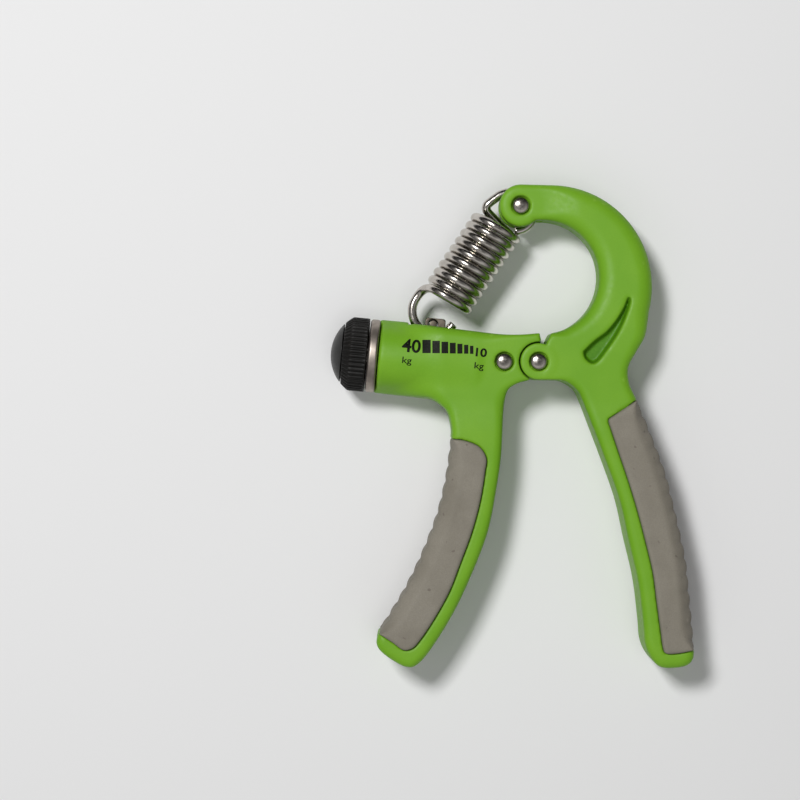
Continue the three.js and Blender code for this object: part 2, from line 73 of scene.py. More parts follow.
PIVOT = np.array(joint("squeeze")["pos_m"])
TUBE_AT = (np.array(joint("knob_turn")["pos_m"]) - PIVOT) / MM
ALONG = np.array(joint("knob_turn")["axis"])
ALONG = ALONG / np.linalg.norm(ALONG)
ACROSS = np.array([-ALONG[1], ALONG[0], 0.0])
UP = np.array([0.0, 0.0, 1.0])
EYE = (np.array(joint("spring_swing")["pos_m"]) - PIVOT) / MM


def node_middle(node):
    low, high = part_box(node)
    return (np.array(low) / 2 + np.array(high) / 2 - PIVOT) / MM


def node_top(node):
    return (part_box(node)[1][2] - PIVOT[2]) / MM


ANCHOR = node_middle("anchor_rivet")
PIN = node_middle("slider_pin")
GRIP_HALF = node_top("fixed_grip_cover")

# ------------------------------------------------------------------ driving dimensions

# Grids and arcs: their steps, the value far outside a body, and the room left round one.
STEP = 0.4
FINE_STEP = 0.2
ARC_STEP = 0.06
OUTSIDE = 50.0
ROOM = 1.6

# Handles and hinge. A name that ends in HALF is half a thickness, counted from mid thickness.
HINGE_HALF = 9.0
LEVER_HALF = 9.6
ARM_HALF = 7.5
LUG_HALF = 6.0
CORE_HALF = 8.7
CORE_SKIN = 2.6
SEAT_GAP = 0.05
EAR_R = 5.1
EAR_INNER_R = 5.5
EAR_LAYER = 4.25
RECESS_R = 5.5
RECESS_LAYER = 3.9
TONGUE_HALF = 3.3
LUG_SLOT_AT = (-6.8, 40.9)
LUG_SLOT_R = 8.5
LUG_SLOT_HALF = 1.6
TEARDROP_DEPTH = 2.6
TEARDROP_MARGIN = 0.3

# The housing's tube, with its bore, its slot and the seats of the rivets.
TUBE_R = 9.7
TUBE_FLAT_R = 8.8
TUBE_END = 28.0
BORE_R = 5.6
SLOT = (7.6, 29.6)
SLOT_HALF = 3.55
HOLE_R = 1.75
COUNTERBORE_R = 2.7
COUNTERBORE_DEPTH = 1.4

# Rivets, bush and washers.
SHANK_R = 1.5
HEAD_R = 2.35
HEAD_RISE = 0.92
BUSH_HOLE_R = 2.8
WASHER_R = 4.6

# Knob, cap, screw and nut. Fronts, rears, tips and ranges lie along the tube.
KNOB_R = 10.35
KNOB_FRONT = -10.0
KNOB_REAR = -3.3
KNOB_RIBS = 48
KNOB_RIB_DEPTH = 0.38
CAP_R = 8.1
PLUG_R = 7.2
DOME_TIP = -13.5
DOME_R = 12.3
SCREW_R = 1.9
SCREW_THREAD = (4.9, 29.3)
SCREW_LEAD = 3.0
SCREW_STARTS = 2
THREAD_DEPTH = 0.38
NUT = (12.1, 17.8)
NUT_HALF = 3.2
PIN_R = 1.1

# Ribs along the grips' outer edges.
GRIP_RIB_PITCH = 4.6
GRIP_RIB_DEPTH = 0.5

# Spring. COIL_LOW and COIL_HIGH are the ends of the coil's axis, CORNER is the wire's sharp bend.
WIRE_R = 1.25
WIRE_SIDES = 18
WIRE_STEP = 0.4
COIL_R = 6.5
COIL_TURNS = 9.5
COIL_LOW = np.array([-25.5, 17.3, 0.0])
COIL_HIGH = np.array([-11.3, 38.0, 0.0])
CORNER = np.array([-15.1, 43.45, 0.0])
CORNER_REACH = 1.9
CROSSING_SAG = 6.0
LOOP_R = 6.4
LOWER_LOOP = np.array([-28.7, 14.3, 0.0])
UPPER_LOOP = np.array([-7.3, 41.3, 0.0])

# Print: how far the ink reaches into the surface, how far it stands out, and its longest edge.
INK_SUNK = 0.1
INK_FILM = 0.05
INK_EDGE = 0.55

# ------------------------------------------------------------------ outlines, clockwise from the front

FIXED_OUTER = [
    (-44.4, -75.4), (-42.5, -72.6), (-37.4, -64.1), (-32.6, -54.3), (-28.1, -42.5),
    (-25.6, -31.8), (-24.2, -21.6),
]
FIXED_TOP = [(-43.57, 11.2), (-32.9, 10.2), (-18.8, 8.6), (-10.4, 7.6), (-4.8, 7.5), (0.3, 7.9)]
FIXED_INNER = [
    (-2.5, -5.2), (-5.8, -6.1), (-8.35, -7.75), (-9.3, -10.5), (-9.8, -14.9), (-10.4, -26.2),
    (-11.8, -36), (-14.1, -47.3), (-18.3, -58.5), (-23.6, -69.8), (-30.1, -80.2),
]
FIXED_TIP = [(-34, -84.4), (-36.6, -84.9), (-39.7, -83.5), (-43.3, -81), (-45, -78.5)]
FIXED_ARMPIT = [(-24.3, -17.7), (-25.3, -14.1), (-27.3, -12), (-30, -10.3), (-33, -9.7), (-45.43, -8.1)]
FIXED_GRIP_REST = [
    (-20.8, -21.9), (-16.6, -23.6), (-14.6, -26.7), (-14.9, -30.4), (-16.3, -38.8), (-18.6, -47.3),
    (-21.7, -55.7), (-25, -64.1), (-29.8, -72.6), (-33.5, -77.9), (-35.4, -79.6), (-37.7, -79.9),
    (-40.5, -77.9),
]
MOVING_OUTER = [
    (27.3, -10.7), (30.9, -19.1), (35.2, -30.4), (37.4, -38.8), (39.4, -47.3), (41.1, -55.7),
    (42.2, -66.9), (43, -75.4), (43.2, -79.9),
]
MOVING_WAIST = [(29.8, 7.3), (27.3, 2.8), (25, -1.7), (25.3, -6.2)]
MOVING_TIP = [(42.8, -82.8), (41, -84.5), (37, -85.2), (33.5, -84.7), (31, -82)]
MOVING_INNER = [
    (29.5, -78.2), (29, -72.6), (27.6, -61.3), (25, -50), (22.5, -38.8), (18.6, -27.6),
    (14.3, -16.3), (12.1, -10.7), (11, -8.4), (9.1, -6.6), (6.8, -5.4), (4.5, -5.15), (1, -5.1),
]
MOVING_GRIP_REST = [
    (38.8, -80.8), (35.2, -80.9), (34.3, -79.3), (33.75, -75.4), (32.6, -66.9), (31.5, -58.5),
    (29.5, -50), (27.3, -41.6), (24.75, -33.2), (21.9, -24.8), (20, -19.1), (19.2, -16.4),
    (20.4, -15.2),
]
TEARDROP = [
    (12.4, 2.7), (15.4, 5.6), (18.7, 8.1), (21.5, 11.3), (23.7, 14.9), (24.9, 17.7), (25.5, 16.7),
    (24, 12), (21.9, 7.7), (19, 3.4), (16.5, 0.2), (14.7, -0.5), (12.9, 0.9),
]


def spline(points, per_span=8):
    """A smooth line through the points, in the plane or in space."""
    p = np.array(points, float)
    line = []
    for i in range(len(p) - 1):
        before, a, b, after = p[max(i - 1, 0)], p[i], p[i + 1], p[min(i + 2, len(p) - 1)]
        leave, arrive = (b - before) / 2, (after - a) / 2
        for t in np.arange(per_span) / per_span:
            cubic = (2 * a - 2 * b + leave + arrive) * t**3
            square = (3 * b - 3 * a - 2 * leave - arrive) * t**2
            line.append(cubic + square + leave * t + a)
    return np.array(line + [p[-1]])


def arc(centre, r, start, end):
    angles = np.linspace(start, end, int(abs(end - start) / ARC_STEP))
    return np.column_stack([centre[0] + r * np.cos(angles), centre[1] + r * np.sin(angles)])


def fixed_outline():
    side = FIXED_INNER[1:] + FIXED_TIP + FIXED_OUTER + FIXED_ARMPIT
    return np.vstack([spline(FIXED_TOP), [(0.8, 5.2)], spline([FIXED_INNER[0]] + side)])


def moving_outline():
    window = arc((1.1, 23.6), 15.9, -1.42, 1.69)
    lug = arc(EYE, 5.9, -0.8, -1.5 * math.pi)
    rim = arc((3.66, 21.1), 28.2, math.pi / 2, -0.26)
    side = spline([tuple(rim[-1])] + MOVING_WAIST + MOVING_OUTER + MOVING_TIP + MOVING_INNER)
    return np.vstack([[(2.25, 5.3), (3.5, 7.9)], window, lug, rim, side])


# ------------------------------------------------------------------ fields: below 0 inside a body

def grid(low, high, step):
    axes = [np.arange(a, b + step, step) for a, b in zip(low, high)]
    return np.meshgrid(*axes, indexing="ij", sparse=True)


def ease(start, end, value):
    """0 at start and 1 at end, which may lie either way, with no kink between."""
    t = np.clip((value - start) / (end - start), 0, 1)
    return t * t * (3 - 2 * t)


def mix(a, b, share):
    return a + (b - a) * share


def joined(a, b, soft=0.0):
    """Either body; soft is how far the seam between them is filled."""
    if soft == 0:
        return np.minimum(a, b)
    near = np.maximum(soft - np.abs(a - b), 0) / soft
    return np.minimum(a, b) - near * near * soft / 4


def kept(a, b, soft=0.0):
    return -joined(-a, -b, soft)


def cut(a, b, soft=0.25):
    return kept(a, -b, soft)


def nearest(line, x, y):
    """Distance to an open line, and how far along the line the nearest point is."""
    best = np.full(np.broadcast(x, y).shape, np.inf)
    place = np.zeros_like(best)
    travelled = 0.0
    for (ax, ay), (bx, by) in zip(line[:-1], line[1:]):
        length = math.hypot(bx - ax, by - ay)
        if length < 1e-6:
            continue
        t = np.clip(((x - ax) * (bx - ax) + (y - ay) * (by - ay)) / length**2, 0, 1)
        distance = np.hypot(x - ax - t * (bx - ax), y - ay - t * (by - ay))
        closer = distance < best
        best = np.where(closer, distance, best)
        place = np.where(closer, travelled + t * length, place)
        travelled += length
    return best, place


def inside(loop, x, y):
    """Distance to a closed loop: above 0 inside it, below 0 outside."""
    closed = np.vstack([loop, loop[:1]])
    within = np.zeros(np.broadcast(x, y).shape, bool)
    for (ax, ay), (bx, by) in zip(closed[:-1], closed[1:]):
        if ay != by:
            crosses = (ay > y) != (by > y)
            within ^= crosses & (x < (bx - ax) * (y - ay) / (by - ay) + ax)
    distance = nearest(closed, x, y)[0]
    return np.where(within, distance, -distance)


def slab(depth, z, half, wide, tall):
    """A plate about mid thickness. Its edges round off over wide across it and tall down it."""
    u = np.maximum(0, 1 - depth / wide)
    v = np.maximum(0, 1 - (half - np.abs(z)) / tall)
    squares = u * u + v * v
    scale = np.where(squares > 1e-6, (wide * u * u + tall * v * v) / np.maximum(squares, 1e-6), tall)
    return (np.sqrt(squares) - 1) * scale


def upright(x, y, centre, r):
    return np.hypot(x - centre[0], y - centre[1]) - r


def layer(z, half):
    return np.abs(z) - half


def in_tube(x, y):
    s = (x - TUBE_AT[0]) * ALONG[0] + (y - TUBE_AT[1]) * ALONG[1]
    n = (x - TUBE_AT[0]) * ACROSS[0] + (y - TUBE_AT[1]) * ACROSS[1]
    return s, n


def tube_block(x, y, z, s_range, n_range, half):
    s, n = in_tube(x, y)
    across = np.maximum(n_range[0] - n, n - n_range[1])
    return kept(kept(np.maximum(s_range[0] - s, s - s_range[1]), across), layer(z, half))


def tube_core(x, y, z, r, s_range):
    s, n = in_tube(x, y)
    return kept(np.hypot(n, z) - r, np.maximum(s_range[0] - s, s - s_range[1]))


def rivet_seat(x, y, z, centre, half):
    """The hole for a rivet and the counterbores for its two heads."""
    bores = kept(upright(x, y, centre, COUNTERBORE_R), half - COUNTERBORE_DEPTH - np.abs(z))
    return joined(upright(x, y, centre, HOLE_R) + 0 * z, bores)


# ------------------------------------------------------------------ mesh making

def finish_piece(piece, body, replaces, material):
    """Gives a piece its material, its body and the CAD nodes that it stands for."""
    piece.data.materials.append(material)
    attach(piece, body)
    if replaces:
        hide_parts(*replaces)


def mesh_piece(name, points, faces):
    """A piece from points in millimetres about the pivot."""
    mesh = bpy.data.meshes.new(name)
    mesh.from_pydata((np.asarray(points) * MM + PIVOT).tolist(), [], [list(map(int, f)) for f in faces])
    mesh.polygons.foreach_set("use_smooth", [True] * len(mesh.polygons))
    mesh.update()
    piece = bpy.data.objects.new(name, mesh)
    bpy.context.scene.collection.objects.link(piece)
    return piece


def signed_volume(points, quads):
    a, b, c, d = (points[quads[:, k]] for k in range(4))
    return np.sum(a * np.cross(b, c)) + np.sum(a * np.cross(c, d))


def field_piece(name, low, high, field_at, step=STEP, smoothing=2):
    """The surface where a field is 0, as a smooth mesh."""
    low, high = np.array(low, float), np.array(high, float)
    values = field_at(*grid(low, high, step))
    volume = openvdb.FloatGrid(OUTSIDE)
    volume.copyFromArray(np.ascontiguousarray(np.clip(values, -OUTSIDE, OUTSIDE), dtype=np.float32))
    points, quads = volume.convertToQuads(isovalue=0)
    points = np.asarray(points, float) * step + low
    if signed_volume(points, quads) < 0:
        quads = quads[:, ::-1]
    piece = mesh_piece(name, points, quads)
    smooth = piece.modifiers.new("settle", "SMOOTH")
    smooth.factor = 0.5
    smooth.iterations = smoothing
    return piece


def rounded(profile, r, steps=3):
    """A profile with its corners rounded off."""
    p = np.array(profile, float)
    line = [p[0]]
    for before, corner, after in zip(p[:-2], p[1:-1], p[2:]):
        back, on = before - corner, after - corner
        reach = min(r, 0.45 * np.linalg.norm(back), 0.45 * np.linalg.norm(on))
        start = corner + back / np.linalg.norm(back) * reach
        end = corner + on / np.linalg.norm(on) * reach
        for t in np.linspace(0, 1, steps + 1):
            line.append(start * (1 - t) ** 2 + 2 * corner * t * (1 - t) + end * t * t)
    return np.array(line + [p[-1]])


def turned(name, profile, origin, axis, segments=64, ribs=None):
    """A piece turned about an axis. Its profile of (radius, height) ends on the axis or closes on
    itself. ribs is a function of angle and height that gives how much the radius loses."""
    axis = np.array(axis, float)
    side = UP if abs(axis[2]) < 0.5 else np.array([1.0, 0.0, 0.0])
    other = np.cross(axis, side)
    angles = np.arange(segments) * 2 * math.pi / segments
    closed = np.allclose(profile[0], profile[-1])
    rows = profile[:-1] if closed else profile
    points, rings = [], []
    for r, h in rows:
        if r < 1e-6:
            rings.append([len(points)] * segments)
            points.append(origin + axis * h)
            continue
        rings.append(list(range(len(points), len(points) + segments)))
        for angle in angles:
            reach = r - (ribs(angle, r, h) if ribs else 0)
            points.append(origin + axis * h + (side * math.cos(angle) + other * math.sin(angle)) * reach)
    pairs = list(zip(rings[:-1], rings[1:])) + ([(rings[-1], rings[0])] if closed else [])
    faces = []
    for low, high in pairs:
        for i in range(segments):
            j = (i + 1) % segments
            corners = [low[i], low[j], high[j], high[i]]
            face = [c for k, c in enumerate(corners) if c != corners[k - 1]]
            faces.append(face)
    points = np.array(points)
    fan = sum(np.dot(points[f[0]], np.cross(points[f[1]], points[f[2]])) for f in faces)
    fan += sum(np.dot(points[f[0]], np.cross(points[f[2]], points[f[3]])) for f in faces if len(f) == 4)
    if fan < 0:
        faces = [f[::-1] for f in faces]
    piece = mesh_piece(name, points, faces)
    piece.modifiers.new("normals", "WEIGHTED_NORMAL")
    return piece


def tube_turned(name, profile, segments=64, ribs=None):
    return turned(name, profile, TUBE_AT, ALONG, segments, ribs)


# ------------------------------------------------------------------ material nodes

def linear(r, g, b):
    """A display colour, 0 to 255, as the shader's linear one."""
    def one(c):
        c = c / 255
        return c / 12.92 if c <= 0.04045 else ((c + 0.055) / 1.055) ** 2.4
    return (one(r), one(g), one(b), 1.0)


RANGE_SOCKETS = ("From Min", "From Max", "To Min", "To Max")


class Finish:
    """A procedural material: a Principled shader and the few nodes that vary it."""

    def __init__(self, name, roughness, metallic=0.0, specular=0.5):
        self.material = bpy.data.materials.new(name)
        self.material.use_nodes = True
        self.tree = self.material.node_tree
        self.shader = self.tree.nodes["Principled BSDF"]
        self.shader.inputs["Metallic"].default_value = metallic
        self.shader.inputs["Roughness"].default_value = roughness
        self.shader.inputs["Specular IOR Level"].default_value = specular
        self.coords = self.node("ShaderNodeTexCoord").outputs["Object"]
        self.height = None

    def node(self, kind, **values):
        made = self.tree.nodes.new(kind)
        for key, value in values.items():
            setattr(made, key, value)
        return made

    def link(self, source, target):
        self.tree.links.new(source, target)

    def noise(self, size, detail=3.0, stretch=(1, 1, 1)):
        """Noise whose features are about size millimetres across."""
        mapping = self.node("ShaderNodeMapping")
        mapping.inputs["Scale"].default_value = stretch
        self.link(self.coords, mapping.inputs["Vector"])
        made = self.node("ShaderNodeTexNoise")
        made.inputs["Scale"].default_value = 1 / (size * MM)
        made.inputs["Detail"].default_value = detail
        self.link(mapping.outputs["Vector"], made.inputs["Vector"])
        return made.outputs["Fac"]

    def cells(self, size):
        made = self.node("ShaderNodeTexVoronoi")
        made.inputs["Scale"].default_value = 1 / (size * MM)
        self.link(self.coords, made.inputs["Vector"])
        return made.outputs["Distance"]

    def ranged(self, value, low, high, to_low, to_high):
        made = self.node("ShaderNodeMapRange", clamp=True)
        for socket, number in zip(RANGE_SOCKETS, (low, high, to_low, to_high)):
            made.inputs[socket].default_value = number
        self.link(value, made.inputs["Value"])
        return made.outputs["Result"]

    def math(self, operation, a, b):
        made = self.node("ShaderNodeMath", operation=operation)
        for socket, value in zip(made.inputs, (a, b)):
            if isinstance(value, (int, float)):
                socket.default_value = value
            else:
                self.link(value, socket)
        return made.outputs["Value"]

    def colours(self, share, a, b):
        made = self.node("ShaderNodeMix", data_type="RGBA")
        self.link(share, made.inputs["Factor"])
        for socket, value in ((made.inputs["A"], a), (made.inputs["B"], b)):
            self.paint(value, socket)
        return made.outputs["Result"]

    def paint(self, value, socket):
        if isinstance(value, tuple):
            socket.default_value = value
        else:
            self.link(value, socket)

    def colour(self, value):
        self.paint(value, self.shader.inputs["Base Color"])

    def roughness(self, value):
        self.link(value, self.shader.inputs["Roughness"])

    def bump(self, value, rise, strength=1.0):
        """Raises the surface by rise millimetres where value is 1."""
        made = self.node("ShaderNodeBump")
        made.inputs["Strength"].default_value = strength
        made.inputs["Distance"].default_value = rise * MM
        self.link(value, made.inputs["Height"])
        if self.height is not None:
            self.link(self.height, made.inputs["Normal"])
        self.height = made.outputs["Normal"]
        self.link(self.height, self.shader.inputs["Normal"])


def edge_wear_and_glint(finish, body_colour, edge_colour, amount):
    """The colour of a body whose sharp edges are a little lighter: rubbed wear on the handles and grips,
    and a painted glint on the black knob and cap.
    """
    point = finish.node("ShaderNodeNewGeometry").outputs["Pointiness"]
    share = finish.ranged(point, 0.52, 0.6, 0, amount)
    broken = finish.math("MULTIPLY", share, finish.ranged(finish.noise(1.5), 0.35, 0.65, 0.2, 1))
    return finish.colours(broken, body_colour, edge_colour)


def parting_line(finish):
    """A fine ridge at mid thickness, where the two mould halves met."""
    split = finish.node("ShaderNodeSeparateXYZ")
    finish.link(finish.coords, split.inputs["Vector"])
    away = finish.math("ABSOLUTE", finish.math("SUBTRACT", split.outputs["Z"], float(PIVOT[2])), 0.0)
    return finish.ranged(away, 0.0, 0.12 * MM, 1, 0)


def green_plastic():
    """The teardrop recess on the arm gets painted shade on its floor, a darker green broken by grain,
    where its mesh attribute marks it.
    """
    f = Finish("green_plastic", 0.48, specular=0.3)
    drift = f.ranged(f.noise(14, 2), 0.35, 0.65, 0, 1)
    body = f.colours(drift, linear(108, 162, 30), linear(116, 168, 36))
    speck = f.ranged(f.noise(0.5, 4), 0.3, 0.7, 0, 0.25)
    body = f.colours(speck, body, linear(98, 150, 26))
    body = edge_wear_and_glint(f, body, linear(146, 188, 80), 0.3)
    # Painted shade: where the mesh marks the recess floor, the green is darkened towards a deep green,
    # broken by grain.
    recess_shade_mask = f.node("ShaderNodeAttribute", attribute_name="recess_shade_mask").outputs["Fac"]
    grained_recess_shade = f.math("MULTIPLY", recess_shade_mask, f.ranged(f.noise(0.4, 3), 0.3, 0.7, 0.75, 1))
    f.colour(f.colours(grained_recess_shade, body, linear(68, 124, 2)))
    f.roughness(f.ranged(f.noise(1.2, 4), 0.3, 0.7, 0.42, 0.56))
    f.bump(f.noise(0.35, 3), 0.012, 0.6)
    f.bump(parting_line(f), 0.08)
    return f.material


def soft_grip():
    f = Finish("soft_grip", 0.7, specular=0.35)
    drift = f.ranged(f.noise(9, 3), 0.35, 0.65, 0, 1)
    body = f.colours(drift, linear(126, 121, 109), linear(136, 131, 119))
    grain = f.ranged(f.noise(0.3, 2), 0.35, 0.65, 0, 0.3)
    body = f.colours(grain, body, linear(112, 104, 95))
    stain = f.ranged(f.noise(2.2, 1), 0.72, 0.76, 0, 0.6)
    body = f.colours(stain, body, linear(96, 86, 78))
    f.colour(edge_wear_and_glint(f, body, linear(160, 152, 141), 0.3))
    f.roughness(f.ranged(f.noise(0.8, 3), 0.3, 0.7, 0.62, 0.8))
    f.bump(f.ranged(f.cells(0.32), 0.0, 0.8, 1, 0), 0.03, 0.5)
    f.bump(parting_line(f), 0.06)
    return f.material


def plated_steel(name, colour, dark, stretch=(1, 1, 1), low=0.14, high=0.3):
    f = Finish(name, 0.2, metallic=1.0)
    drift = f.ranged(f.noise(2.5, 3), 0.35, 0.65, 0, 1)
    f.colour(f.colours(drift, colour, dark))
    f.roughness(f.ranged(f.noise(0.6, 4, stretch), 0.3, 0.7, low, high))
    f.bump(f.noise(0.25, 3, stretch), 0.004, 0.5)
    return f.material


def black_plastic(name, colour, light, low, high, grain):
    f = Finish(name, 0.45, specular=0.22)
    drift = f.ranged(f.noise(3, 3), 0.35, 0.65, 0, 1)
    # The lighter brownish edges here are a painted glint on the rims, not wear.
    f.colour(edge_wear_and_glint(f, f.colours(drift, colour, light), linear(62, 57, 52), 0.4))
    f.roughness(f.ranged(f.noise(0.7, 4), 0.3, 0.7, low, high))
    f.bump(f.noise(0.3, 3), grain, 0.6)
    return f.material


def moulded_nylon():
    f = Finish("nylon", 0.5, specular=0.4)
    drift = f.ranged(f.noise(2, 3), 0.35, 0.65, 0, 1)
    f.colour(f.colours(drift, linear(214, 210, 198), linear(202, 198, 184)))
    f.roughness(f.ranged(f.noise(0.5, 3), 0.3, 0.7, 0.42, 0.58))
    f.bump(f.noise(0.3, 3), 0.01, 0.5)
    return f.material


def print_ink():
    f = Finish("print_ink", 0.5, specular=0.12)
    thin = f.ranged(f.noise(0.35, 3), 0.5, 0.8, 0, 0.4)
    f.colour(f.colours(thin, linear(15, 17, 10), linear(34, 48, 14)))
    f.roughness(f.ranged(f.noise(0.4, 3), 0.3, 0.7, 0.42, 0.6))
    f.bump(f.noise(0.15, 2), 0.006, 0.5)
    return f.material


GREEN = green_plastic()
GRIP = soft_grip()
STEEL = plated_steel("plated_steel", linear(196, 189, 182), linear(178, 170, 162))
WIRE = plated_steel("spring_steel", linear(206, 201, 194), linear(184, 178, 170), low=0.14, high=0.28)
DULL_STEEL = plated_steel("nut_steel", linear(112, 104, 94), linear(84, 77, 68), low=0.38, high=0.55)
COLLAR = plated_steel(
    "collar_metal", linear(176, 166, 156), linear(152, 142, 134), stretch=(14, 1, 1), low=0.36, high=0.52,
)
BRASS = plated_steel("brass", linear(196, 152, 84), linear(176, 134, 70), low=0.25, high=0.4)
KNOB = black_plastic("knob_plastic", linear(13, 12, 10), linear(17, 16, 14), 0.42, 0.6, 0.012)
CAP = black_plastic("cap_plastic", linear(30, 30, 29), linear(36, 36, 35), 0.3, 0.45, 0.006)
NYLON = moulded_nylon()
INK = print_ink()

# ------------------------------------------------------------------ handles


def seated(plate, loop, x, y, z, grip_outline, grip_ends_at):
    """Cuts a handle back where its grip goes, down to the core that the grip wraps."""
    seat = -(inside(grip_outline, x, y) + SEAT_GAP) + 0 * z
    core = kept(CORE_SKIN - inside(loop, x, y), layer(z, CORE_HALF), 0.4)
    core = kept(core, y - grip_ends_at)
    return joined(cut(plate, seat, 0.1), core)


def grip_loop(outer, rest):
    """A grip's outline with its outer edge moved clear of the handle."""
    edge = spline(outer)
    direction = np.gradient(edge, axis=0)
    direction /= np.linalg.norm(direction, axis=1)[:, None]
    outward = np.column_stack([-direction[:, 1], direction[:, 0]])
    return np.vstack([edge + outward * 2, spline([outer[-1]] + rest + [outer[0]])[1:-1]])


def fixed_handle_field(x, y, z):
    loop = fixed_outline()
    depth = inside(loop, x, y)
    s, n = in_tube(x, y)
    lever = mix(HINGE_HALF, LEVER_HALF, ease(-10, -20, y))
    root = mix(2.2, lever, ease(-44, -26, x))
    half = np.where(y < -14, lever, np.minimum(lever, root))
    hinge = ease(17, 9, np.hypot(x, y))
    low = ease(-8, -18, y)
    wide = mix(mix(3.2, 2.2, low), 1.2, hinge)
    tall = mix(mix(2.4, 1.8, low), 1.0, hinge)
    plate = slab(depth, z, half, wide, np.minimum(tall, half - 0.2))
    radius = mix(TUBE_R, TUBE_FLAT_R, ease(12, 26, s))
    tube = kept(np.hypot(n, z) - radius, np.maximum(-s, s - TUBE_END), 1.2)
    tube = kept(tube, np.hypot(n, z) - (radius + (TUBE_END - s) * 0.9), 1.0)
    body = joined(plate, tube, 2.5)
    body = seated(body, loop, x, y, z, grip_loop(FIXED_OUTER, FIXED_GRIP_REST), -16)
    body = cut(body, kept(upright(x, y, (0, 0), RECESS_R), RECESS_LAYER - np.abs(z)), 0.3)
    tongue = kept(upright(x, y, (0, 0), EAR_R), layer(z, TONGUE_HALF), 0.3)
    root_layer = kept(kept(0.5 - depth, layer(z, TONGUE_HALF)), upright(x, y, (0, 0), RECESS_R + 1))
    body = joined(joined(body, tongue), root_layer)
    body = cut(body, tube_core(x, y, z, BORE_R, (-1, 29.3)))
    body = cut(body, tube_block(x, y, z, (28.3, 37.4), (-3.8, 4.4), 3.7))
    body = cut(body, tube_block(x, y, z, SLOT, (0, 30), SLOT_HALF), 0.6)
    body = cut(body, upright(x, y, (0, 0), BUSH_HOLE_R) + 0 * z)
    return cut(body, rivet_seat(x, y, z, ANCHOR, HINGE_HALF))


def in_teardrop(x, y):
    """How far inside the teardrop's rim a place is, counted from the rim's rounded top edge."""
    return inside(spline(TEARDROP + TEARDROP[:1]), x, y) + TEARDROP_MARGIN


def moving_handle_field(x, y, z):
    loop = moving_outline()
    depth = inside(loop, x, y)
    lever = mix(HINGE_HALF, LEVER_HALF, ease(-10, -20, y))
    arm = mix(lever, ARM_HALF, ease(0, 34, y))
    at_lug = ease(17, 6, np.hypot(x - EYE[0], y - EYE[1]))
    half = mix(arm, LUG_HALF, at_lug)
    hinge = ease(12, 6, np.hypot(x, y))
    up_arm = ease(0, 16, y)
    wide = mix(mix(mix(2.4, 4.4, up_arm), 1.6, at_lug), 0.7, hinge)
    tall = mix(mix(mix(1.9, 3.3, up_arm), 1.3, at_lug), 0.6, hinge)
    plate = slab(depth, z, half, wide, tall)
    ear = kept(upright(x, y, (0, 0), EAR_R), layer(z, HINGE_HALF), 0.5)
    body = joined(plate, ear, 0.3)
    body = seated(body, loop, x, y, z, grip_loop(MOVING_OUTER, MOVING_GRIP_REST), -9)
    body = cut(body, kept(upright(x, y, (0, 0), EAR_INNER_R), layer(z, EAR_LAYER)))
    body = cut(body, kept(upright(x, y, LUG_SLOT_AT, LUG_SLOT_R), layer(z, LUG_SLOT_HALF)))
    drop = in_teardrop(x, y)
    floor = half - TEARDROP_DEPTH * ease(0, 1.0, drop)
    body = cut(body, kept(-drop, floor - np.abs(z)), 0.5)
    body = cut(body, rivet_seat(x, y, z, (0, 0), HINGE_HALF))
    return cut(body, rivet_seat(x, y, z, EYE, LUG_HALF))


def grip_field(outer, rest, handle_loop):
    """A grip: scalloped along its outer edge, crowned towards it, and hollow for the handle's core."""
    edge, border = spline(outer), spline([outer[-1]] + rest + [outer[0]])

    def field(x, y, z):
        depth = inside(np.vstack([edge, border[1:-1]]), x, y)
        from_edge, along = nearest(edge, x, y)
        from_border = nearest(border, x, y)[0]
        turn = (along / GRIP_RIB_PITCH) % 1
        scallop = (2 * turn - 1) ** 2
        length = np.linalg.norm(np.diff(edge, axis=0), axis=1).sum()
        ends = ease(0, 2, along) * ease(length, length - 2, along)
        depth = depth - GRIP_RIB_DEPTH * scallop * ends * ease(3.5, 0.5, from_edge)
        outward = from_border / np.maximum(from_border + from_edge, 1e-3)
        wide = mix(0.9, 6.0, ease(0.2, 0.9, outward))
        tall = mix(0.9, 4.2, ease(0.2, 0.9, outward))
        cover = slab(depth, z, GRIP_HALF, wide, tall)
        core = CORE_SKIN - SEAT_GAP - inside(handle_loop, x, y)
        return cut(cover, kept(core, layer(z, CORE_HALF + SEAT_GAP), 0.4))

    return field


def loop_box(loop, half):
    """The corners of a box round an outline, with room for the field to turn positive."""
    low, high = loop.min(0) - ROOM, loop.max(0) + ROOM
    return (low[0], low[1], -half - ROOM), (high[0], high[1], half + ROOM)


def mark_teardrop_shade(piece):
    """Writes where the teardrop's floor is into the mesh, for the material to paint shade there."""
    points = (np.array([v.co for v in piece.data.vertices]) - PIVOT) / MM
    marked = piece.data.attributes.new("recess_shade_mask", "FLOAT", "POINT")
    marked.data.foreach_set("value", ease(-0.2, 0.6, in_teardrop(points[:, 0], points[:, 1])))


def make_handles():
    low, high = loop_box(fixed_outline(), 10)
    fixed = field_piece("fixed_handle_shell", low, high, fixed_handle_field)
    finish_piece(fixed, "housing", ["fixed_handle"], GREEN)
    low, high = loop_box(moving_outline(), 10)
    moving = field_piece("moving_handle_shell", low, high, moving_handle_field)
    mark_teardrop_shade(moving)
    finish_piece(moving, "arm", ["moving_handle"], GREEN)
    for name, body, outer, rest, outline in (
        ("fixed_grip", "housing", FIXED_OUTER, FIXED_GRIP_REST, fixed_outline()),
        ("moving_grip", "arm", MOVING_OUTER, MOVING_GRIP_REST, moving_outline()),
    ):
        low, high = loop_box(np.vstack([spline(outer), spline(rest)]), GRIP_HALF)
        grip = field_piece(name, low, high, grip_field(outer, rest, outline))
        finish_piece(grip, body, [name + "_cover"], GRIP)


# ------------------------------------------------------------------ rivets, bushes and washers

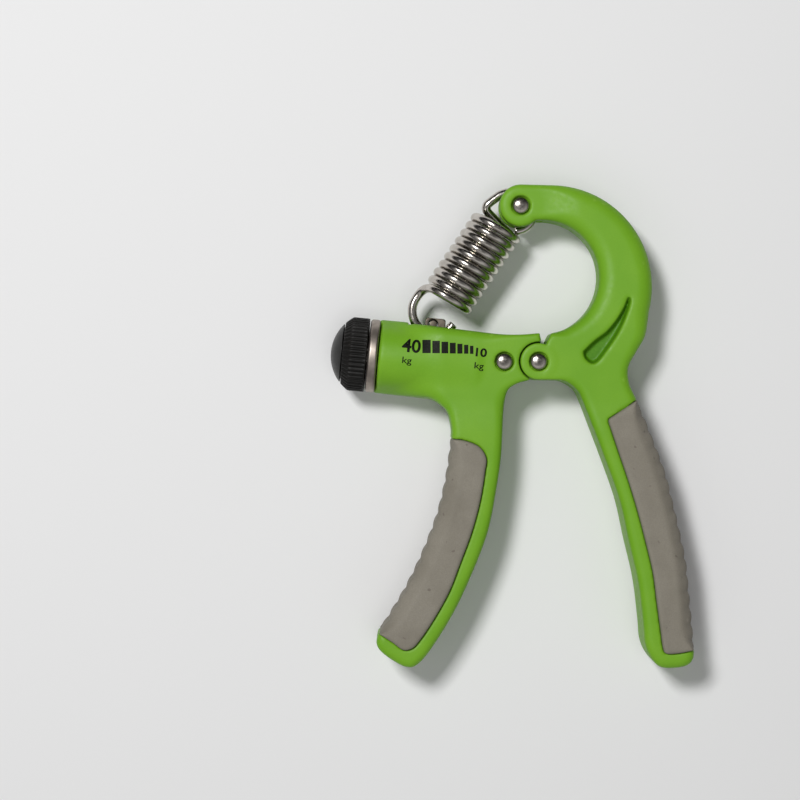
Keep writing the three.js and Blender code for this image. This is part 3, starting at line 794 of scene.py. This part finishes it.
def rivet(name, body, node, centre, half):
    """A rivet with a shank and two domed heads, each sunk a little in its counterbore."""
    rim, under = half - 0.62, half - 1.1
    dome = [(HEAD_R * math.cos(a), rim + HEAD_RISE * math.sin(a)) for a in np.linspace(0, math.pi / 2, 9)]
    upper = [(SHANK_R, 0.0), (SHANK_R, under), (HEAD_R - 0.12, under), (HEAD_R, under + 0.12)] + dome
    upper[-1] = (0.0, upper[-1][1])
    lower = [(r, -h) for r, h in upper[:0:-1]]
    piece = turned(name, lower + upper[1:], np.array([centre[0], centre[1], 0.0]), UP, 48)
    finish_piece(piece, body, [node], STEEL)


def ring(inner, outer, low, high, chamfer=0.15):
    """The closed profile of a bush or a washer."""
    loop = [(inner, (low + high) / 2), (inner, low), (outer, low), (outer, high), (inner, high)]
    return rounded(loop + [loop[0]], chamfer, 2)


def make_pivots():
    rivet("pivot_rivet_domed", "arm", "pivot_rivet", (0, 0), HINGE_HALF)
    rivet("anchor_rivet_domed", "housing", "anchor_rivet", ANCHOR, HINGE_HALF)
    rivet("spring_rivet_domed", "spring_pivot", "spring_rivet", EYE, LUG_HALF)
    bush = turned("hinge_bush", ring(1.6, 2.5, -3.1, 3.1), np.zeros(3), UP)
    finish_piece(bush, "housing", ["pivot_bush"], BRASS)
    for side, low, high in (("front", 3.55, 3.95), ("back", -3.95, -3.55)):
        washer = turned("hinge_washer_" + side, ring(HOLE_R, WASHER_R, low, high, 0.1), np.zeros(3), UP)
        finish_piece(washer, "arm", ["pivot_washer_" + side], NYLON)


# ------------------------------------------------------------------ adjuster, along the tube

def dome_at(r):
    """Height of the spherical face that the knob's shoulder and its cap share."""
    return DOME_TIP + DOME_R - math.sqrt(DOME_R**2 - r * r)


def knob_ribs(angle, r, height):
    """Fine ribs round the knob's outside, fading out towards its two rims."""
    if r < 8.6:
        return 0.0
    wave = 0.5 + 0.5 * math.cos(KNOB_RIBS * angle)
    fade = float(ease(-3.4, -4.0, height)) * float(ease(8.5, 9.3, r))
    return KNOB_RIB_DEPTH * wave**2 * fade


def make_knob():
    shoulder = [(r, dome_at(r)) for r in np.linspace(8.7, KNOB_R - 0.1, 8)]
    side = [(KNOB_R, h) for h in np.linspace(-7.6, -3.7, 10)]
    rear = [
        (KNOB_R - 0.35 * (1 - math.cos(a)), KNOB_REAR - 0.3 * (1 - math.sin(a)))
        for a in np.linspace(0.2, 1.4, 4)
    ]
    inner = [(9.6, KNOB_REAR), (2.2, KNOB_REAR), (2.2, -8.4), (7.5, -8.4), (7.5, KNOB_FRONT)]
    profile = [(7.5, KNOB_FRONT), (8.55, KNOB_FRONT)] + shoulder + side + rear + inner
    knob = tube_turned("ribbed_knob", profile, KNOB_RIBS * 8, knob_ribs)
    finish_piece(knob, "knob", ["adjusting_knob"], KNOB)
    dome = [(r, dome_at(r)) for r in CAP_R * np.sin(np.linspace(0, math.pi / 2, 16))]
    plug = [(CAP_R, -10.3), (PLUG_R, -10.3), (PLUG_R, -8.9), (4.2, -8.9), (4.2, -10.6), (0, -10.6)]
    cap = tube_turned("domed_cap", np.vstack([dome[:-1], rounded([dome[-1]] + plug, 0.15)]), 96)
    finish_piece(cap, "knob", ["knob_cap"], CAP)
    screw = rounded([(0, -9.9), (2.4, -9.9), (3, -9.3), (3, -8.7), (1.1, -8.7), (1.1, -5), (0, -5)], 0.2)
    piece = tube_turned("knob_screw_turned", screw, 40)
    finish_piece(piece, "knob", ["knob_screw"], STEEL)


def thread(angle, r, height):
    """The thread that runs along the middle of the screw's full diameter."""
    if r < SCREW_R - 0.05 or not SCREW_THREAD[0] + 0.1 < height < SCREW_THREAD[1] - 0.1:
        return 0.0
    phase = SCREW_STARTS * (height / SCREW_LEAD - angle / (2 * math.pi)) % 1
    return THREAD_DEPTH * abs(2 * phase - 1)


def make_screw():
    neck = [(0, -4.5), (1.4, -4.5), (1.4, -8), (SCREW_R, -8), (SCREW_R, 3.4)]
    groove = [(1.4, 3.4), (1.4, 4.4), (SCREW_R, 4.4)]
    threaded = [(SCREW_R, h) for h in np.linspace(*SCREW_THREAD, 200)]
    tail = [(SCREW_R, 29.6), (1.5, 29.6), (1.5, 31.8), (0, 31.8)]
    piece = tube_turned("threaded_screw", neck + groove + threaded + tail, 32, thread)
    finish_piece(piece, "knob", ["lead_screw"], STEEL)


def clip_field(x, y, z):
    """A C clip: an eccentric ring with its mouth open along +n."""
    s, n = in_tube(x, y)
    body = kept(np.hypot(n, z) - 3.9, 1.6 - np.hypot(n - 0.2, z), 0.2)
    body = cut(body, kept(np.abs(n) - 1.2, -z), 0.1)
    return kept(body, np.maximum(3.5 - s, s - 4.2), 0.15)


def end_block_field(x, y, z):
    body = tube_block(x, y, z, (29.9, 37.1), (-3.5, 4.1), 3.4)
    body = cut(body, tube_core(x, y, z, 1.65, (29, 32.2)))
    return cut(body, upright(x, y, ANCHOR, HOLE_R) + 0 * z)


def nut_field(x, y, z):
    """The slider: a barrel on the screw with a fork that carries the spring's pin."""
    barrel = tube_core(x, y, z, 5.2, NUT)
    s, n = in_tube(x, y)
    fork_end = np.hypot(s - sum(NUT) / 2, n - 8.9) - 4.0
    fork = kept(tube_block(x, y, z, NUT, (0, 12.1), NUT_HALF), fork_end, 0.3)
    fork = joined(fork, tube_block(x, y, z, NUT, (0, 8.9), NUT_HALF))
    body = joined(barrel, fork, 0.4)
    body = cut(body, tube_block(x, y, z, (11, 19), (2.75, 30), 1.5))
    body = cut(body, tube_core(x, y, z, 2.15, (11, 19)))
    return cut(body, upright(x, y, PIN, 1.25) + 0 * z)


def make_adjuster():
    collar = rounded([
        (3.35, -1), (3.35, -3), (9.75, -3), (10.25, -2.5), (10.25, -0.7), (9.85, -0.3), (5.3, -0.3),
        (5.3, 2), (3.35, 2), (3.35, -1),
    ], 0.3)
    piece = tube_turned("turned_collar", collar, 96)
    finish_piece(piece, "housing", ["end_collar"], COLLAR)
    bush = tube_turned("screw_bush", ring(2.0, 3.05, -2.9, 1.8))
    finish_piece(bush, "housing", ["spindle_bush"], BRASS)
    washer = tube_turned("screw_washer", ring(2.2, WASHER_R, 2.3, 3.1))
    finish_piece(washer, "knob", ["thrust_washer"], NYLON)
    for name, body, node, field in (
        ("c_clip", "knob", "retaining_clip", clip_field),
        ("end_block", "housing", "screw_end_block", end_block_field),
        ("forked_nut", "slider", "slider_nut", nut_field),
    ):
        middle = node_middle(node)
        low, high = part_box(node)
        reach = (np.array(high) - np.array(low)) / MM / 2 + 1
        made = field_piece(name, middle - reach, middle + reach, field, FINE_STEP, 1)
        finish_piece(made, body, [node], DULL_STEEL)
    half = NUT_HALF - 0.05
    profile = rounded([(0, -half), (PIN_R, -half), (PIN_R, half), (0, half)], 0.2)
    pin = turned("fork_pin", profile, np.array([PIN[0], PIN[1], 0.0]), UP, 32)
    finish_piece(pin, "slider", ["slider_pin"], DULL_STEEL)


# ------------------------------------------------------------------ spring

COIL_AXIS = (COIL_HIGH - COIL_LOW) / np.linalg.norm(COIL_HIGH - COIL_LOW)
COIL_SIDE = np.array([-COIL_AXIS[1], COIL_AXIS[0], 0.0])


def coil_point(turn):
    """The wire's place after a number of turns, starting on the coil's outer side."""
    angle = 2 * math.pi * turn
    round_axis = COIL_SIDE * math.cos(angle) + UP * math.sin(angle)
    return mix(COIL_LOW, COIL_HIGH, turn / COIL_TURNS) + COIL_R * round_axis


def loop_point(loop, degrees, curl=0.0):
    """A place on a hook's loop. curl is the share by which the wire is drawn in to its middle."""
    angle = math.radians(degrees)
    return loop + np.array([math.cos(angle), math.sin(angle), 0.0]) * LOOP_R * (1 - curl)


def crossing_point(share):
    """The wire from the coil's end to the corner. It leaves along the last turn, so it sags behind."""
    sag = CROSSING_SAG * math.sqrt(share) * (1 - share)
    return mix(coil_point(COIL_TURNS), CORNER, share) - UP * sag


def settled(line):
    """The same line with its points evenly spaced and its kinks eased."""
    lengths = np.linalg.norm(np.diff(line, axis=0), axis=1)
    travelled = np.concatenate([[0], np.cumsum(lengths)])
    places = np.linspace(0, travelled[-1], int(travelled[-1] / WIRE_STEP))
    even = np.column_stack([np.interp(places, travelled, line[:, k]) for k in range(3)])
    for _ in range(4):
        even[1:-1] = (even[:-2] + 2 * even[1:-1] + even[2:]) / 4
    return even


def spring_line():
    """The centre line of the whole wire, from the lower hook's cut end to the upper one's."""
    lower = [loop_point(LOWER_LOOP, a) for a in range(-36, -222, -15)]
    lower += [np.array([-32.6, 19.7, 0.35]), np.array([-31.3, 20.5, 1.6])]
    coil = [coil_point(t) for t in np.arange(0.1, COIL_TURNS, 1 / 24)]
    crossing = [crossing_point(root**2) for root in np.linspace(0, 0.7, 9)]
    bend = rounded([crossing[-1], CORNER, loop_point(UPPER_LOOP, 130)], CORNER_REACH, 6)
    upper = [loop_point(UPPER_LOOP, a) for a in range(130, 9, -10)]
    tail_curls = {0: 0.02, -15: 0.05, -30: 0.1, -45: 0.16, -60: 0.22, -75: 0.28}
    upper += [loop_point(UPPER_LOOP, a, curl) for a, curl in tail_curls.items()]
    return settled(np.vstack([spline(lower + coil + crossing, 4), bend[1:-1], spline(upper, 4)]))


def swept(name, line, r, sides):
    """A round wire along a line, its ends slightly rounded."""
    tangent = np.gradient(line, axis=0)
    tangent /= np.linalg.norm(tangent, axis=1)[:, None]
    side = np.cross(tangent[0], UP)
    side /= np.linalg.norm(side)
    rows, centres = [], []
    angles = np.arange(sides) * 2 * math.pi / sides
    for i, (point, along) in enumerate(zip(line, tangent)):
        side = side - along * np.dot(side, along)
        side /= np.linalg.norm(side)
        other = np.cross(along, side)
        circle = np.cos(angles)[:, None] * side + np.sin(angles)[:, None] * other
        if i == 0:
            rows.append(point - along * 0.12 + circle * r * 0.8)
            centres.append(point)
        rows.append(point + circle * r)
        centres.append(point)
    rows.append(line[-1] + tangent[-1] * 0.12 + circle * r * 0.8)
    centres.append(line[-1])
    faces = []
    for row in range(len(rows) - 1):
        for i in range(sides):
            j = (i + 1) % sides
            a, b = row * sides, (row + 1) * sides
            faces.append([a + i, b + i, b + j, a + j][::-1])
    last = (len(rows) - 1) * sides
    faces.append(list(range(sides))[::-1])
    faces.append(list(range(last, last + sides)))
    return mesh_piece(name, np.vstack(rows), faces), np.repeat(np.array(centres), sides, axis=0)


def make_spring():
    """One wire. Each ring of the mesh is weighed where its centre is and moved along the coil so that
    the blend's easing comes out straight, then set back to the wire's own shape."""
    piece, centres = swept("spring_wire", spring_line(), WIRE_R, WIRE_SIDES)
    shape = np.array([v.co for v in piece.data.vertices])
    span = COIL_LOW - COIL_HIGH
    share = np.clip((centres - COIL_HIGH) @ span / (span @ span), 0, 1)
    straight = 0.5 - np.sin(np.arcsin(1 - 2 * share) / 3)
    weighed = (COIL_HIGH + straight[:, None] * span) * MM + PIVOT
    piece.data.vertices.foreach_set("co", weighed.ravel())
    piece.data.materials.append(WIRE)
    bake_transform(piece)
    piece.data.vertices.foreach_set("co", shape.ravel())
    piece.data.update()
    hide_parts("spring_coil", "spring_upper_hook", "spring_lower_hook")


# ------------------------------------------------------------------ printed scale

def housing_top(x, y):
    """Height of the housing's front face, found by stepping down through its field."""
    z = np.linspace(11, 5, 121)[None, :]
    values = fixed_handle_field(x[:, None], y[:, None], z)
    first = np.argmax(values < 0, axis=1)
    rows = np.arange(len(x))
    above, below = values[rows, first - 1], values[rows, first]
    return z[0, first - 1] + above / (above - below) * (z[0, 1] - z[0, 0])


def printed(name, flat):
    """Lays a flat mesh, drawn in millimetres, on the housing as a thin film of ink."""
    bm = bmesh.new()
    bm.from_mesh(flat)
    for _ in range(5):
        bmesh.ops.triangulate(bm, faces=bm.faces)
        long_edges = [e for e in bm.edges if e.calc_length() > INK_EDGE]
        if not long_edges:
            break
        bmesh.ops.subdivide_edges(bm, edges=long_edges, cuts=1)
    bmesh.ops.triangulate(bm, faces=bm.faces)
    base = list(bm.verts)
    co = np.array([v.co for v in base])
    top = housing_top(co[:, 0], co[:, 1])
    for v, height in zip(base, top):
        v.co.z = height - INK_SUNK
    lifted = bmesh.ops.extrude_face_region(bm, geom=list(bm.faces))
    for v in [g for g in lifted["geom"] if isinstance(g, bmesh.types.BMVert)]:
        v.co.z += INK_SUNK + INK_FILM
    bmesh.ops.recalc_face_normals(bm, faces=bm.faces)
    for v in bm.verts:
        v.co = Vector(np.array(v.co) * MM + PIVOT)
    mesh = bpy.data.meshes.new(name)
    bm.to_mesh(mesh)
    bm.free()
    piece = bpy.data.objects.new(name, mesh)
    bpy.context.scene.collection.objects.link(piece)
    finish_piece(piece, "housing", [], INK)


def lettering(name, text, corner, width, height, weight):
    """Text with its lower left corner at a place, drawn along the tube, weight thicker than plain."""
    curve = bpy.data.curves.new(name, "FONT")
    curve.body = text
    curve.size = 1.0
    curve.offset = weight
    curve.resolution_u = 4
    made = bpy.data.objects.new(name, curve)
    bpy.context.scene.collection.objects.link(made)
    bpy.context.view_layer.update()
    mesh = bpy.data.meshes.new_from_object(made.evaluated_get(bpy.context.evaluated_depsgraph_get()))
    bpy.data.objects.remove(made)
    flat = np.array([v.co[:2] for v in mesh.vertices])
    flat = (flat - flat.min(0)) / (flat.max(0) - flat.min(0)) * np.array([width, height])
    placed = np.array([*corner, 0.0]) + flat[:, :1] * ALONG + flat[:, 1:] * ACROSS
    mesh.vertices.foreach_set("co", placed.ravel())
    printed(name, mesh)


def make_scale():
    """A number and a unit at each end, and between them bars that shrink towards the light end."""
    lettering("scale_high", "40", (-38.1, 2.7), 5.2, 3.75, 0.022)
    lettering("scale_low", "10", (-17.6, 1.4), 3.1, 2.45, 0.028)
    lettering("scale_high_unit", "kg", (-38.0, -1.0), 2.6, 2.35, 0.008)
    lettering("scale_low_unit", "kg", (-18.0, -2.5), 2.6, 2.3, 0.008)
    left = -32.3
    for i in range(7):
        right, bottom, top = left + 2.3 - 0.225 * i, 2.3 - 0.035 * i, 6.0 - 0.28 * i
        mesh = bpy.data.meshes.new("bar")
        corners = [(left, bottom, 0), (right, bottom, 0), (right, top, 0), (left, top, 0)]
        mesh.from_pydata(corners, [], [(0, 1, 2, 3)])
        printed(f"scale_bar_{i + 1}", mesh)
        left = right + 0.46


# ------------------------------------------------------------------ the object

make_handles()
make_pivots()
make_knob()
make_screw()
make_adjuster()
make_spring()
make_scale()

# ------------------------------------------------------------------ stage, light and camera

VIEW_CENTRE = np.array([-38.5, -10.7, 0.0]) * MM + PIVOT
VIEW_WIDTH = 0.225
LENS = 100.0
SENSOR = 36.0
FLOOR_REACH = 3.0


def make_floor():
    mesh = bpy.data.meshes.new("floor")
    corners = [(-FLOOR_REACH, -FLOOR_REACH), (FLOOR_REACH, -FLOOR_REACH)]
    corners += [(FLOOR_REACH, FLOOR_REACH), (-FLOOR_REACH, FLOOR_REACH)]
    mesh.from_pydata([(x, y, 0) for x, y in corners], [], [(0, 1, 2, 3)])
    floor = bpy.data.objects.new("floor", mesh)
    bpy.context.scene.collection.objects.link(floor)
    f = Finish("floor", 0.8, specular=0.1)
    f.colour(linear(229, 229, 229))
    floor.data.materials.append(f.material)


def make_lights():
    """A small key light from the far left, an overhead fill that shows in no reflection, and a sky that
    is brightest high on the near side."""
    def area(name, place, size, power, in_reflections):
        light = bpy.data.lights.new(name, "AREA")
        light.shape = "RECTANGLE"
        light.size, light.size_y = size
        light.energy = power
        made = bpy.data.objects.new(name, light)
        made.location = place
        made.visible_glossy = in_reflections
        aim = Vector(PIVOT) - Vector(place)
        made.rotation_euler = aim.to_track_quat("-Z", "Y").to_euler()
        bpy.context.scene.collection.objects.link(made)

    area("key", (-0.36, 0.36, 1.0), (0.22, 0.22), 9.2, True)
    area("fill", (0.08, -0.22, 1.2), (0.5, 0.4), 1.6, False)
    world = bpy.data.worlds.new("studio")
    world.use_nodes = True
    bpy.context.scene.world = world
    tree = world.node_tree
    coords = tree.nodes.new("ShaderNodeTexCoord")
    split = tree.nodes.new("ShaderNodeSeparateXYZ")
    ramp = tree.nodes.new("ShaderNodeValToRGB")
    tree.links.new(coords.outputs["Generated"], split.inputs["Vector"])
    tree.links.new(split.outputs["Z"], ramp.inputs["Fac"])
    stops = [(0.0, 0.35), (0.25, 0.12), (0.5, 0.5), (0.8, 1.0), (0.93, 0.45), (1.0, 0.3)]
    elements = ramp.color_ramp.elements
    elements[0].position, elements[1].position = stops[0][0], stops[-1][0]
    for position, _ in stops[1:-1]:
        elements.new(position)
    for element, (_, value) in zip(elements, stops):
        element.color = (value, value, value, 1)
    background = tree.nodes["Background"]
    lean = tree.nodes.new("ShaderNodeMapRange")
    for socket, number in zip(RANGE_SOCKETS, (-0.6, 0.5, 2.6, 0.15)):
        lean.inputs[socket].default_value = number
    tree.links.new(split.outputs["Y"], lean.inputs["Value"])
    leaning = tree.nodes.new("ShaderNodeVectorMath")
    leaning.operation = "SCALE"
    tree.links.new(ramp.outputs["Color"], leaning.inputs[0])
    tree.links.new(lean.outputs["Result"], leaning.inputs["Scale"])
    tree.links.new(leaning.outputs["Vector"], background.inputs["Color"])
    background.inputs["Strength"].default_value = 0.27


def make_camera():
    camera = bpy.data.cameras.new("camera")
    camera.lens = LENS
    camera.sensor_width = SENSOR
    made = bpy.data.objects.new("camera", camera)
    height = VIEW_WIDTH / SENSOR * LENS
    made.location = (VIEW_CENTRE[0], VIEW_CENTRE[1], PIVOT[2] + height)
    bpy.context.scene.collection.objects.link(made)
    bpy.context.scene.camera = made


make_floor()
make_lights()
make_camera()
bpy.context.scene.view_settings.view_transform = "Standard"
